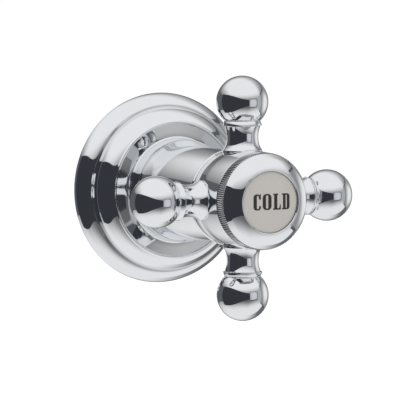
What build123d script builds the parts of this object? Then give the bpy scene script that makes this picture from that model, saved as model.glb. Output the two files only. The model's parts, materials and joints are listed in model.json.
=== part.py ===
# Concealed stop valve with a four-arm cross handle, on a 15 mm supply pipe inside a wall.
# Each piece is made on the valve axis: x across, y up, z out of the finished wall towards the user.
# At the end every piece is turned so that +Z is up and the handle faces -Y, with the wall at y = 0.
# A reach is a distance out from the finished wall, and a negative reach lies inside the wall.
import os
from math import cos, radians, sin, sqrt

from build123d import *

# Fits, in millimetres
thread_clearance = 0.05
slip_clearance = 0.1
running_clearance = 0.05
seal_clearance = 0.02
axial_play = 0.15
disc_film = 0.01

# Rose
rose_radius = 29.0
rose_wall = 1.6
rose_seat_margin = 0.4
rose_band_share = 0.74
rose_band_height = 4.8
rose_ledge_width = 0.6
rose_ledge_height = 0.7
rose_lip_share = 0.36
rose_lip_height = 10.7
rose_lip_width = 1.0
rose_lip_crown = 0.25
rose_height = 16.0
rose_hole_clearance = 0.4
rose_seal_width = 2.4
rose_seal_thickness = 1.2

# Valve body in the wall
pipe_radius = 7.5
pipe_clearance = 0.1
socket_depth = 11.0
socket_wall = 1.2
socket_bead = 0.5
socket_bead_width = 2.5
socket_stop_wall = 1.5
port_depth = 12.0
passage_radius = 3.1
passage_margin = 0.15
body_wall = 2.15
body_back_wall = 3.5
body_edge = 1.2
port_fillet = 1.0
boss_reach = 5.0
boss_flat_depth = 0.4
boss_flat_length = 5.0
seat_offset = 1.0
seat_bore_radius = 5.5
seat_thickness = 2.0
inlet_chamber_radius = 6.5
inlet_chamber_depth = 6.8

# Cartridge
seat_seal_thickness = 1.8
seat_seal_width = 1.9
disc_radius = 7.7
disc_thickness = 2.4
disc_port_inner = 2.2
disc_port_outer = 6.2
disc_port_angle = 76.0
disc_ear_width = 2.5
disc_ear_length = 0.75
skirt_wall = 0.8
skirt_gap = 0.4
window_angle = 90.0
foot_chamber_height = 2.2
foot_thickness = 1.4
foot_clearance = 0.3
drive_bar_width = 3.0
drive_bar_depth = 1.1
drive_bar_step = 1.0
thrust_washer_thickness = 0.5
shoulder_wall = 1.2
housing_thread_radius = 10.4
housing_seal_thickness = 1.0
housing_seal_width = 1.9
hexagon_shoulder = 1.6
hexagon_height = 5.0
hexagon_chamfer = 0.9
barrel_radius = 9.0
barrel_length = 15.0
stem_radius = 5.0
seal_groove_depth = 1.2
seal_groove_width = 1.9
inner_seal_gap = 4.5
outer_seal_gap = 10.5

# Quarter turn
travel_angle = 90.0
closed_angle = 90.0
stop_ring_gap = 0.85
stop_ring_thickness = 1.4
stop_tab_length = 1.9
stop_tab_angle = 20.0
stop_margin_angle = 0.5
crown_height = 2.0
crown_wall = 1.7
circlip_thickness = 0.8
circlip_width = 1.7
circlip_gap_angle = 50.0
circlip_groove_depth = 0.8

# Splines of the spindle and of its extension
spline_radius = 4.0
spline_depth = 0.4
spline_teeth = 20
spindle_spline_length = 8.4
extension_socket_wall = 2.5
extension_socket_play = 0.4
extension_rod_radius = 4.7
extension_spline_length = 7.4
set_screw_radius = 1.5
set_screw_groove_depth = 0.6
set_screw_proud = 0.2

# Sleeve and the carrier that it screws on to
carrier_wall = 2.5
carrier_length = 19.0
carrier_gap = 0.3
carrier_slot_width = 3.0
carrier_slot_depth = 2.0
sleeve_foot_wall = 3.6
sleeve_foot_height = 0.6
sleeve_length = 31.4
sleeve_waist_wall = 2.5
sleeve_waist_share = 0.42
sleeve_shoulder_step = 1.3
sleeve_shoulder_share = 0.72
sleeve_mouth_radius = 11.8
sleeve_mouth_wall = 1.4
sleeve_seal_section = 1.3
sleeve_seal_edge = 0.7

# Handle hub
hub_length = 16.9
hub_overlap = 0.8
hub_mouth_depth = 2.0
hub_mouth_clearance = 0.8
hub_mouth_wall = 1.1
hub_rim_rise = 0.6
hub_rim_width = 1.6
hub_crown_rise = 0.4
hub_end_rise = 0.2
hub_web_thickness = 1.8
hub_recess_depth = 6.5
hub_recess_wall = 1.85
insert_flats = 11.0
insert_clearance = 0.1
washer_recess_depth = 1.0

# Arms
arm_angles = {"right": 0, "top": 90, "left": 180, "bottom": 270}
arm_foot_margin = 0.7
arm_stud_radius = 2.9
arm_stud_depth = 4.8
arm_foot_radius = 5.8
arm_neck_radius = 4.4
arm_neck_share = 0.61
arm_collar_root = 4.75
arm_collar_radius = 5.4
arm_collar_width = 1.4
arm_groove_radius = 4.95
arm_ball_radius = 7.6
arm_ball_reach = 28.2

# Screw under the index
screw_radius = 2.45
screw_clearance = 0.3
screw_length = 13.0
screw_head_radius = 4.3
screw_head_height = 2.8
screw_socket_flats = 3.0
screw_socket_depth = 1.8
washer_radius = 5.0
washer_thickness = 0.8

# Index ring and disc
knurl_rise = 0.3
knurl_depth = 0.25
knurl_teeth = 180
knurl_width = 3.5
ring_skirt_wall = 1.4
ring_skirt_gap = 1.0
bezel_edge = 0.3
bezel_width = 3.95
bezel_height = 3.3
bezel_lip_width = 0.4
index_floor = 1.6
index_floor_rise = 0.4
index_floor_hole = 2.0
index_disc_thickness = 2.2
index_disc_edge = 0.4

# Radii of the valve body and the cartridge
stem_bore = stem_radius + running_clearance
skirt_inner = disc_radius + slip_clearance
skirt_outer = skirt_inner + skirt_wall
cavity_radius = (skirt_outer + housing_thread_radius) / 2
body_radius = housing_thread_radius + thread_clearance + body_wall
socket_stop = cavity_radius + socket_stop_wall
port_end = socket_stop + socket_depth
hexagon_flats = 2 * (housing_thread_radius + hexagon_shoulder)
crown_outer = barrel_radius - thread_clearance
crown_inner = crown_outer - crown_wall
stop_ring_radius = crown_inner - stop_ring_gap

# Reaches of the cartridge, counted outwards from its seat
seat_reach = seat_offset - port_depth
fixed_disc_back = seat_reach + seat_seal_thickness
turning_disc_back = fixed_disc_back + disc_thickness + disc_film
foot_chamber_back = turning_disc_back + disc_thickness
foot_back = foot_chamber_back + foot_chamber_height
thrust_back = foot_back + foot_thickness
shoulder_reach = thrust_back + thrust_washer_thickness + disc_film
thread_back = shoulder_reach - shoulder_wall
hexagon_back = boss_reach + housing_seal_thickness
hexagon_front = hexagon_back + hexagon_height
housing_front = hexagon_front + barrel_length
stop_ring_back = housing_front + axial_play
circlip_back = stop_ring_back + stop_ring_thickness
extension_back = circlip_back + circlip_thickness + axial_play
spindle_front = extension_back + spindle_spline_length

# Radii of the trim
carrier_radius = barrel_radius + thread_clearance + carrier_wall
sleeve_bore = carrier_radius + thread_clearance
sleeve_foot_radius = sleeve_bore + sleeve_foot_wall
rose_top_radius = sleeve_foot_radius + rose_seat_margin
rose_width = rose_radius - rose_top_radius
rose_band_radius = rose_top_radius + rose_band_share * rose_width
rose_lip_radius = rose_top_radius + rose_lip_share * rose_width
hub_mouth_radius = sleeve_mouth_radius + hub_mouth_clearance
hub_start_radius = hub_mouth_radius + hub_mouth_wall
hub_rim_radius = hub_start_radius + hub_rim_rise
hub_crown_radius = hub_start_radius + hub_crown_rise
hub_end_radius = hub_start_radius + hub_end_rise
hub_recess_radius = hub_end_radius - hub_recess_wall
knurl_radius = hub_end_radius + knurl_rise
bezel_foot_radius = knurl_radius - knurl_depth - bezel_edge
bezel_crown_radius = bezel_foot_radius - bezel_width
bezel_lip_radius = bezel_crown_radius - bezel_lip_width

# Reaches of the trim, counted outwards from the rose
carrier_back = hexagon_front + carrier_gap
carrier_front = carrier_back + carrier_length
sleeve_front = rose_height + sleeve_length
hub_back = sleeve_front - hub_overlap
hub_front = hub_back + hub_length
hub_web_front = hub_front - hub_recess_depth
hub_web_back = hub_web_front - hub_web_thickness
recess_back = hub_web_front + washer_recess_depth
arm_reach = hub_back + arm_foot_radius + arm_foot_margin
knurl_front = hub_front + knurl_width
index_floor_front = knurl_front + index_floor_rise


def turned(*outline):
    """Turns a closed outline of (radius, reach) points round the valve axis."""
    return revolve(Plane.XZ * make_face(outline), Axis.Z)


def turned_corners(*corners):
    """Turns an outline that has only straight sides."""
    return turned(Polyline(*corners, close=True))


def drum(radius, back, front):
    """A cylinder on the valve axis, from one reach to another."""
    return turned_corners((0, back), (radius, back), (radius, front), (0, front))


def tube(inner, outer, back, front):
    """A hollow cylinder on the valve axis."""
    return turned_corners((inner, back), (outer, back), (outer, front), (inner, front))


def prism(outline, back, front):
    """A flat outline, carried along the valve axis from one reach to another."""
    return Pos(0, 0, back) * extrude(outline, front - back)


def hexagon(flats):
    """A hexagon by the distance across its flats."""
    return RegularPolygon(flats / 2, 6, major_radius=False)


def polar(radius, angle):
    """A point at a radius and an angle in degrees."""
    return (radius * cos(radians(angle)), radius * sin(radians(angle)))


def sector(inner, outer, middle, angle):
    """A flat sector of a ring, centred on one angle."""
    first, last = middle - angle / 2, middle + angle / 2
    rim = ThreePointArc(polar(outer, first), polar(outer, middle), polar(outer, last))
    hole = ThreePointArc(polar(inner, last), polar(inner, middle), polar(inner, first))
    return make_face([rim, Line(rim @ 1, hole @ 0), hole, Line(hole @ 1, rim @ 0)])


def toothed(radius, depth, teeth, flat_share):
    """An outline with straight-sided teeth: flat_share is how much of each tooth's pitch its top takes."""
    pitch = 360 / teeth
    side = (1 - flat_share) / 2
    corners = []
    for tooth in range(teeth):
        corners.append(polar(radius - depth, tooth * pitch))
        corners.append(polar(radius, (tooth + side) * pitch))
        if flat_share > 0:
            corners.append(polar(radius, (tooth + side + flat_share) * pitch))
    return make_face(Polyline(*corners, close=True))


def spline(grow=0.0):
    """The splined outline that the spindle and its extension share, grown for a socket."""
    return toothed(spline_radius + grow, spline_depth, spline_teeth, 0.3)


def rose():
    """The spun flange: two convex bands, a lip and a cove, hollow towards the wall."""
    ledge = (rose_band_radius - rose_ledge_width, rose_band_height + rose_ledge_height)
    lip_outer = (rose_lip_radius + rose_lip_width / 2, rose_lip_height)
    lip_inner = (rose_lip_radius - rose_lip_width / 2, rose_lip_height)
    top = (rose_top_radius, rose_height)
    outer = make_face([
        Polyline((0, -rose_wall), (rose_radius, -rose_wall), (rose_radius, 0)),
        TangentArc((rose_radius, 0), (rose_band_radius, rose_band_height), tangent=(0, 1)),
        Polyline((rose_band_radius, rose_band_height), (ledge[0], rose_band_height), ledge),
        TangentArc(ledge, lip_outer, tangent=(0, 1)),
        ThreePointArc(lip_outer, (rose_lip_radius, rose_lip_height + rose_lip_crown), lip_inner),
        TangentArc(top, lip_inner, tangent=(0, -1)),
        Polyline(top, (0, rose_height), (0, -rose_wall)),
    ])
    inner = offset(outer, -rose_wall)
    behind_wall = Pos(0, -rose_wall / 2) * Rectangle(2 * rose_radius, rose_wall)
    shell = revolve(Plane.XZ * (outer - inner - behind_wall), Axis.Z)
    return shell - drum(carrier_radius + rose_hole_clearance, 0, rose_height)


def rose_seal():
    """The foam ring in the back of the rose, flush with its rim."""
    band_rise = rose_radius - rose_band_radius
    band_arc = (band_rise**2 + rose_band_height**2) / (2 * band_rise)
    hollow_arc = band_arc - rose_wall
    reach_at_front = sqrt(hollow_arc**2 - rose_seal_thickness**2)
    outer = rose_radius - band_arc + reach_at_front - seal_clearance
    return tube(outer - rose_seal_width, outer, 0, rose_seal_thickness)


def port(side, radius, start, length, depth):
    """A cylinder along one of the two pipe ports: side is 1 upwards and -1 downwards."""
    bar = Cylinder(radius, length, align=(Align.CENTER, Align.CENTER, Align.MIN))
    return Pos(0, side * start, -depth) * Rot(-90 * side, 0, 0) * bar


def valve_body():
    """The brass body: a barrel for the cartridge across two capillary sockets for the pipe."""
    socket_radius = pipe_radius + pipe_clearance
    seat_back = seat_reach - seat_thickness
    chamber_back = seat_back - inlet_chamber_depth
    body_back = chamber_back - body_back_wall
    barrel = drum(body_radius, body_back, boss_reach)
    barrel = fillet(barrel.edges().group_by(Axis.Z)[0], body_edge)
    flats = Rectangle(2 * (body_radius - boss_flat_depth), 2 * body_radius)
    barrel -= prism(Circle(body_radius) - flats, boss_reach - boss_flat_length, boss_reach)
    body = barrel
    for side in (1, -1):
        body += port(side, socket_radius + socket_wall, 0, port_end, port_depth)
    body = fillet(body.edges().filter_by(GeomType.BSPLINE), port_fillet)
    bead_radius = socket_radius + socket_wall + socket_bead
    bead_start = port_end - socket_bead_width
    for side in (1, -1):
        body += port(side, bead_radius, bead_start, socket_bead_width, port_depth)
    body -= drum(housing_thread_radius + thread_clearance, thread_back, boss_reach)
    body -= drum(cavity_radius, seat_reach, thread_back)
    body -= drum(seat_bore_radius, seat_back, seat_reach)
    body -= drum(inlet_chamber_radius, chamber_back, seat_back)
    for side in (1, -1):
        body -= port(side, socket_radius, socket_stop, socket_depth, port_depth)
    outlet_depth = -seat_reach - passage_radius - passage_margin
    inlet_depth = -seat_back + passage_radius + passage_margin
    body -= port(1, passage_radius, 0, socket_stop, outlet_depth)
    body -= port(-1, passage_radius, 0, socket_stop, inlet_depth)
    return body


def seat_seal():
    """The rubber ring that the cartridge presses on the seat."""
    outer = disc_radius - slip_clearance
    return tube(outer - seat_seal_width, outer, seat_reach, fixed_disc_back)


def disc_ports(middle):
    """The two sector ports of a ceramic disc."""
    first = sector(disc_port_inner, disc_port_outer, middle, disc_port_angle)
    return first + sector(disc_port_inner, disc_port_outer, middle + 180, disc_port_angle)


def fixed_disc():
    """The lower ceramic disc, kept from turning by two ears in the housing's skirt."""
    ears = Rectangle(2 * (disc_radius + disc_ear_length), disc_ear_width)
    outline = Circle(disc_radius) + ears - disc_ports(0)
    return prism(outline, fixed_disc_back, fixed_disc_back + disc_thickness)


def turning_disc():
    """The upper ceramic disc: its ports stand a quarter turn from the fixed ones when closed."""
    front = turning_disc_back + disc_thickness
    disc = prism(Circle(disc_radius - slip_clearance) - disc_ports(90), turning_disc_back, front)
    slot = Rectangle(2 * disc_radius, drive_bar_width + slip_clearance)
    return disc - prism(slot, front - drive_bar_depth - slip_clearance, front)


def hexagon_chamfers():
    """The turned outside that takes the corners off the hexagon's front."""
    corner = hexagon_flats / sqrt(3)
    return turned_corners(
        (0, hexagon_back),
        (corner, hexagon_back),
        (corner, hexagon_front - hexagon_chamfer),
        (hexagon_flats / 2, hexagon_front),
        (0, hexagon_front),
    )


def cartridge_housing():
    """The headwork: a skirt with windows, a thread, a hexagon, a barrel and a crown of stops."""
    skirt_back = seat_reach + skirt_gap
    housing = turned_corners(
        (skirt_inner, skirt_back),
        (skirt_outer, skirt_back),
        (skirt_outer, thread_back),
        (housing_thread_radius, thread_back),
        (housing_thread_radius, hexagon_back),
        (barrel_radius, hexagon_back),
        (barrel_radius, housing_front),
        (stem_bore, housing_front),
        (stem_bore, shoulder_reach),
        (skirt_inner, shoulder_reach),
    )
    nut = prism(hexagon(hexagon_flats) - Circle(stem_bore), hexagon_back, hexagon_front)
    housing += nut & hexagon_chamfers()
    window = sector(stem_bore, housing_thread_radius, 90, window_angle)
    window += sector(stem_bore, housing_thread_radius, 270, window_angle)
    housing -= prism(window, turning_disc_back + slip_clearance, foot_back)
    slots = Rectangle(2 * housing_thread_radius, disc_ear_width + slip_clearance)
    slots -= Circle(stem_bore)
    housing -= prism(slots, skirt_back, fixed_disc_back + disc_thickness)
    free_angle = travel_angle + stop_tab_angle + 2 * stop_margin_angle
    free_middle = closed_angle + travel_angle / 2
    crown = sector(crown_inner, crown_outer, free_middle + 180, 360 - free_angle)
    return housing + prism(crown, housing_front, housing_front + crown_height)


def housing_seal():
    """The fibre washer under the hexagon."""
    inner = housing_thread_radius + slip_clearance
    return tube(inner, inner + housing_seal_width, boss_reach, hexagon_back)


def thrust_washer():
    """The low-friction washer between the spindle's foot and the housing."""
    back, front = thrust_back, thrust_back + thrust_washer_thickness
    return tube(stem_radius + slip_clearance, skirt_inner - foot_clearance, back, front)


def seal_groove_back(gap):
    """Where a seal's groove starts, by its distance out from the housing's shoulder."""
    return shoulder_reach + gap


def spindle():
    """The spindle: a foot with a drive bar, a stem with seal grooves, and a splined end."""
    foot_radius = skirt_inner - foot_clearance
    body = drum(foot_radius, foot_back, thrust_back) + drum(stem_radius, thrust_back, stop_ring_back)
    bar = Rectangle(2 * (foot_radius - drive_bar_step), drive_bar_width)
    body += prism(bar, foot_chamber_back - drive_bar_depth, foot_back)
    body += prism(spline(), stop_ring_back, spindle_front)
    groove_radius = stem_radius - seal_groove_depth
    for gap in (inner_seal_gap, outer_seal_gap):
        back = seal_groove_back(gap)
        body -= tube(groove_radius, stem_bore, back, back + seal_groove_width)
    clip_radius = spline_radius - circlip_groove_depth
    body -= tube(clip_radius, stem_bore, circlip_back, circlip_back + circlip_thickness)
    set_reach = extension_back + spindle_spline_length / 2
    set_radius = spline_radius - set_screw_groove_depth
    return body - tube(set_radius, stem_bore, set_reach - set_screw_radius, set_reach + set_screw_radius)


def spindle_seal(gap):
    """A rubber ring in one of the spindle's grooves, as it lies squeezed in the bore."""
    inner = stem_radius - seal_groove_depth
    section = stem_bore - seal_clearance - inner
    middle = seal_groove_back(gap) + seal_groove_width / 2
    ring = Torus(inner + section / 2, section / 2)
    return Pos(0, 0, middle) * ring


def stop_ring():
    """The ring with one tab that turns between the ends of the housing's crown."""
    front = stop_ring_back + stop_ring_thickness
    tab = sector(stop_ring_radius / 2, stop_ring_radius + stop_tab_length, closed_angle, stop_tab_angle)
    outline = Circle(stop_ring_radius) + tab - spline(thread_clearance)
    return prism(outline, stop_ring_back, front)


def circlip():
    """The open spring ring in the spindle's groove."""
    inner = spline_radius - circlip_groove_depth + seal_clearance
    outline = Circle(inner + circlip_width) - Circle(inner)
    outline -= sector(inner / 2, inner + 2 * circlip_width, 0, circlip_gap_angle)
    return prism(outline, circlip_back, circlip_back + circlip_thickness)


def sleeve_carrier():
    """The threaded tube on the housing's barrel, with two slots for a spanner."""
    inner = barrel_radius + thread_clearance
    carrier = tube(inner, carrier_radius, carrier_back, carrier_front)
    slots = Rectangle(3 * carrier_radius, carrier_slot_width)
    return carrier - prism(slots, carrier_front - carrier_slot_depth, carrier_front)


def sleeve():
    """The bell-shaped shroud: it screws on to the carrier and holds the rose to the wall."""
    mouth_bore = sleeve_mouth_radius - sleeve_mouth_wall
    foot = (sleeve_foot_radius, rose_height + sleeve_foot_height)
    waist = (sleeve_bore + sleeve_waist_wall, rose_height + sleeve_waist_share * sleeve_length)
    shoulder_reach_out = rose_height + sleeve_shoulder_share * sleeve_length
    shoulder = (sleeve_mouth_radius + sleeve_shoulder_step, shoulder_reach_out)
    mouth = (sleeve_mouth_radius, sleeve_front)
    bell = turned(
        Polyline((sleeve_bore, rose_height), (sleeve_foot_radius, rose_height), foot),
        Spline(foot, waist, shoulder, mouth),
        Polyline(
            mouth,
            (mouth_bore, sleeve_front),
            (mouth_bore, carrier_front + slip_clearance),
            (sleeve_bore, carrier_front + slip_clearance),
            (sleeve_bore, rose_height),
        ),
    )
    outer = sleeve_foot_radius - sleeve_seal_edge
    return bell - tube(outer - sleeve_seal_section, outer, rose_height, rose_height + sleeve_seal_section)


def sleeve_seal():
    """The rubber ring in the sleeve's foot, squeezed flush on the rose."""
    outer = sleeve_foot_radius - sleeve_seal_edge
    half = sleeve_seal_section / 2
    ring = Torus(outer - half, half - seal_clearance)
    return Pos(0, 0, rose_height + half) * ring


def spindle_extension():
    """The rod that carries the turn from the spindle out to the hub."""
    socket_front = spindle_front + extension_socket_play
    front = hub_web_back - axial_play
    spline_back = front - extension_spline_length
    rod = drum(spline_radius + extension_socket_wall, extension_back, socket_front)
    rod += drum(extension_rod_radius, socket_front, spline_back)
    rod += prism(spline(), spline_back, front)
    rod -= prism(spline(thread_clearance), extension_back, socket_front)
    screw_hole = screw_radius + thread_clearance
    rod -= drum(screw_hole, screw_tip() - axial_play, front)
    return rod - set_screw_shank(thread_clearance, 2 * extension_socket_wall)


def set_screw_shank(grow, length):
    """The set screw's cylinder, from the spindle's groove outwards across the socket wall."""
    tip = spline_radius - set_screw_groove_depth + seal_clearance
    shank = Cylinder(set_screw_radius + grow, length, align=(Align.CENTER, Align.CENTER, Align.MIN))
    return Pos(tip, 0, extension_back + spindle_spline_length / 2) * Rot(0, 90, 0) * shank


def extension_set_screw():
    """The set screw that keeps the extension on the spindle."""
    length = extension_socket_wall + set_screw_groove_depth + set_screw_proud
    screw = set_screw_shank(0, length)
    reach = extension_back + spindle_spline_length / 2
    key = prism(hexagon(set_screw_radius), -set_screw_radius, 0)
    outer_end = spline_radius + extension_socket_wall + set_screw_proud
    return screw - Pos(outer_end, 0, reach) * Rot(0, 90, 0) * key


def spline_insert():
    """The moulded bush in the hub, hexagonal outside and splined inside."""
    front = hub_web_back - seal_clearance
    outline = hexagon(insert_flats) - spline(thread_clearance)
    return prism(outline, hub_back + hub_mouth_depth, front)


def hub_side():
    """The hub's outer side: a rear rim, a small neck and a crowned barrel."""
    rim_start = (hub_rim_radius - hub_rim_width / 2, hub_back)
    rim_top = (hub_rim_radius, hub_back + hub_rim_width / 2)
    start = (hub_start_radius, hub_back + hub_rim_width)
    crown = (hub_crown_radius, (hub_back + hub_rim_width + hub_front) / 2)
    end = (hub_end_radius, hub_front)
    return [ThreePointArc(rim_start, rim_top, start), ThreePointArc(start, crown, end)]


def hub_envelope():
    """The hub's outside as a solid, which shapes the arms' saddle feet."""
    rim_start = (hub_rim_radius - hub_rim_width / 2, hub_back)
    end = (hub_end_radius, hub_front)
    return turned(*hub_side(), Polyline(end, (0, hub_front), (0, hub_back), rim_start))


def arm_bar(radius, start, front, angle):
    """A cylinder along one arm, between two distances from the valve axis."""
    bar = Cylinder(radius, front - start, align=(Align.CENTER, Align.CENTER, Align.MIN))
    return Rot(0, 0, angle) * Pos(start, 0, arm_reach) * Rot(0, 90, 0) * bar


def handle_hub():
    """The hub: a mouth over the sleeve, a socket for the insert, a web and a recess for the index."""
    hub = hub_envelope()
    hub -= drum(hub_mouth_radius, hub_back, hub_back + hub_mouth_depth)
    socket = hexagon(insert_flats + 2 * insert_clearance)
    hub -= prism(socket, hub_back + hub_mouth_depth, hub_web_back)
    hub -= drum(screw_radius + screw_clearance, hub_web_back, hub_web_front)
    hub -= drum(washer_radius + screw_clearance, hub_web_front, recess_back)
    hub -= drum(hub_recess_radius, recess_back, hub_front)
    stud_start = hub_start_radius - arm_stud_depth - slip_clearance
    for angle in arm_angles.values():
        hub -= arm_bar(arm_stud_radius + thread_clearance, stud_start, hub_rim_radius, angle)
    return hub


def handle_arm(angle):
    """One turned arm: a stud, a saddle foot, a waist, a collar bead and a ball."""
    stud_start = hub_start_radius - arm_stud_depth
    foot_start = hub_start_radius - arm_foot_radius / 2
    foot_end = hub_end_radius
    ball_start = arm_ball_reach - sqrt(arm_ball_radius**2 - arm_groove_radius**2)
    collar_start = ball_start - arm_collar_width
    collar_top = (arm_collar_radius, (collar_start + ball_start) / 2)
    neck_reach = foot_end + arm_neck_share * (collar_start - foot_end)
    neck_end = (arm_collar_root, collar_start)
    neck = [(arm_foot_radius, foot_end), (arm_neck_radius, neck_reach), neck_end]
    ball_end = (0, arm_ball_reach + arm_ball_radius)
    arm = turned(
        Polyline((0, foot_start), (arm_foot_radius, foot_start), (arm_foot_radius, foot_end)),
        Spline(*neck, tangents=[(-0.75, 1), (0.35, 1)]),
        ThreePointArc(neck_end, collar_top, (arm_groove_radius, ball_start)),
        ThreePointArc((arm_groove_radius, ball_start), (arm_ball_radius, arm_ball_reach), ball_end),
        Line(ball_end, (0, foot_start)),
    )
    arm = Rot(0, 0, angle) * Pos(0, 0, arm_reach) * Rot(0, 90, 0) * arm
    return arm - hub_envelope() + arm_bar(arm_stud_radius, stud_start, neck_reach, angle)


def handle_washer():
    """The washer under the handle screw."""
    inner = screw_radius + slip_clearance
    return tube(inner, washer_radius, hub_web_front, hub_web_front + washer_thickness)


def screw_tip():
    """The reach of the handle screw's tip."""
    return hub_web_front + washer_thickness - screw_length


def handle_screw():
    """The screw that holds the hub on the extension."""
    head_back = hub_web_front + washer_thickness
    head_front = head_back + screw_head_height
    head = drum(screw_head_radius, head_back, head_front)
    head = fillet(head.edges().group_by(Axis.Z)[-1], screw_head_height / 3)
    screw = head + drum(screw_radius, screw_tip(), head_back)
    return screw - prism(hexagon(screw_socket_flats), head_front - screw_socket_depth, head_front)


def index_ring():
    """The ring with the milled edge and convex bezel that carries the index disc."""
    lip_start = (bezel_crown_radius, knurl_front + bezel_height)
    lip_end = (bezel_lip_radius, knurl_front + bezel_height - bezel_lip_width)
    bezel_start = (bezel_foot_radius, knurl_front)
    floor_back = index_floor_front - index_floor
    dome = turned(
        Line((0, floor_back), (bezel_foot_radius, floor_back)),
        Line((bezel_foot_radius, floor_back), bezel_start),
        TangentArc(lip_start, bezel_start, tangent=(1, 0)),
        TangentArc(lip_start, lip_end, tangent=(-1, 0)),
        Polyline(lip_end, (bezel_lip_radius, index_floor_front), (0, index_floor_front), (0, floor_back)),
    )
    knurl = toothed(knurl_radius, knurl_depth, knurl_teeth, 0)
    ring = dome + prism(knurl - Circle(bezel_lip_radius), hub_front, knurl_front)
    skirt_outside = hub_recess_radius - thread_clearance
    skirt_inside = skirt_outside - ring_skirt_wall
    skirt_back = recess_back + ring_skirt_gap
    ring += tube(skirt_inside, skirt_outside, skirt_back, hub_front)
    ring -= drum(skirt_inside, skirt_back, floor_back)
    return ring - drum(index_floor_hole, floor_back, index_floor_front)


def index_disc():
    """The glazed porcelain disc in the index ring."""
    front = index_floor_front + index_disc_thickness
    disc = drum(bezel_lip_radius - slip_clearance, index_floor_front, front)
    return fillet(disc.edges().group_by(Axis.Z)[-1], index_disc_edge)


pieces = {
    "rose": rose(),
    "rose_seal": rose_seal(),
    "valve_body": valve_body(),
    "seat_seal": seat_seal(),
    "fixed_ceramic_disc": fixed_disc(),
    "turning_ceramic_disc": turning_disc(),
    "cartridge_housing": cartridge_housing(),
    "housing_seal": housing_seal(),
    "thrust_washer": thrust_washer(),
    "spindle": spindle(),
    "spindle_seal_inner": spindle_seal(inner_seal_gap),
    "spindle_seal_outer": spindle_seal(outer_seal_gap),
    "stop_ring": stop_ring(),
    "circlip": circlip(),
    "sleeve_carrier": sleeve_carrier(),
    "sleeve": sleeve(),
    "sleeve_seal": sleeve_seal(),
    "spindle_extension": spindle_extension(),
    "extension_set_screw": extension_set_screw(),
    "spline_insert": spline_insert(),
    "handle_hub": handle_hub(),
    "handle_washer": handle_washer(),
    "handle_screw": handle_screw(),
    "index_ring": index_ring(),
    "index_disc": index_disc(),
}
for side, angle in arm_angles.items():
    pieces["handle_arm_" + side] = handle_arm(angle)

# Turns the valve axis to point along -Y, with the pipe upright
towards_user = Plane(origin=(0, 0, 0), x_dir=(1, 0, 0), z_dir=(0, -1, 0))

os.makedirs("parts", exist_ok=True)
for name, piece in pieces.items():
    export_step(towards_user * piece, "parts/" + name + ".step")
    print(name, round(piece.volume, 1))
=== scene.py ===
# %% [markdown]
# # A concealed stop valve with a cross handle
# The valve sits in a wall, and what shows is polished chrome: a stepped rose, a bell-shaped sleeve,
# a hub with four turned arms, and a milled ring that holds a porcelain disc.
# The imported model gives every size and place. This script gives the parts their look: smooth turned
# surfaces worked out with numpy, real finishes, and a small studio for the chrome to reflect.

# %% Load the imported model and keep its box
import json

import bpy
import numpy as np
from mathutils import Matrix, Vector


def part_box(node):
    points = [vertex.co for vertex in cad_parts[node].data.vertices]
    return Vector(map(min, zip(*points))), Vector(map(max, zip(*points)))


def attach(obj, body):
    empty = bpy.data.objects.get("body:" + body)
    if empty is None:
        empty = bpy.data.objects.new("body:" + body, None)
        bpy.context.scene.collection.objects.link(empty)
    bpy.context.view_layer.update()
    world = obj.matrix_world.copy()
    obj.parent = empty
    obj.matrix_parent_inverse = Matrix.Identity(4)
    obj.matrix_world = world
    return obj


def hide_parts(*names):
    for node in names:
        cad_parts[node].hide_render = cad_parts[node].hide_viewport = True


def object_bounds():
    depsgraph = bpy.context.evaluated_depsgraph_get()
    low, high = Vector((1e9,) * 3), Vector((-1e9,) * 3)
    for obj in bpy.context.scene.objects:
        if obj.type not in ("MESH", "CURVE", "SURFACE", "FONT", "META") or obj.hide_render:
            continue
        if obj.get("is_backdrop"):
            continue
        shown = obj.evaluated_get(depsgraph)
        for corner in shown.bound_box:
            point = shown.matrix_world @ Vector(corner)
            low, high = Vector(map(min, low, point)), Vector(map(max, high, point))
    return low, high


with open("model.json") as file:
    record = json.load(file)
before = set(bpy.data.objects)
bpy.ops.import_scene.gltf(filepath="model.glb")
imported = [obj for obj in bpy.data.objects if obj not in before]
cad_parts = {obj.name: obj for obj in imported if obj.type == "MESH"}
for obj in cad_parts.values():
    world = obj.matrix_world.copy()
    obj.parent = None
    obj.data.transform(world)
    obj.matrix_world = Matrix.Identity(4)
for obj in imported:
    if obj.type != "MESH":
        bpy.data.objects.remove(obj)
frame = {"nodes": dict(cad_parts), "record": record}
cad_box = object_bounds()
print("Its box runs from", tuple(cad_box[0]), "to", tuple(cad_box[1]), "metres")

# %% [markdown]
# ## Sizes
# Blender works in metres, and a maker of taps thinks in millimetres, so outlines are drawn in
# millimetres and turned into metres when a mesh is made. The valve axis points along -Y, so the
# distance out from the wall, the reach, is -y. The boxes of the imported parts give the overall
# sizes, and only what a box can't tell is written as a number.

# %% Read the sizes from the frame
MM = 0.001


def extents(node):
    """A part's radius from the valve axis, and its back and front reach, all in millimetres."""
    low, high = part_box(node)
    return high.x / MM, -high.y / MM, -low.y / MM


rose_radius, _, rose_front = extents("rose")
sleeve_foot_radius, sleeve_back, sleeve_front = extents("sleeve")
hub_rim_radius, hub_back, hub_front = extents("handle_hub")
_, skirt_back, ring_front = extents("index_ring")
disc_radius, disc_back, disc_front = extents("index_disc")
print("Rose radius", round(rose_radius, 2), "and handle front at", round(ring_front, 2), "mm")

# %% [markdown]
# ## Outlines
# Every chromed piece was turned on a lathe, so each is an outline carried round an axis. An outline
# could be a list of many points, but a draughtsman draws it with a few arcs and lines, and so does
# this script: each helper returns an array of points, two columns wide, radius and reach.

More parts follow.
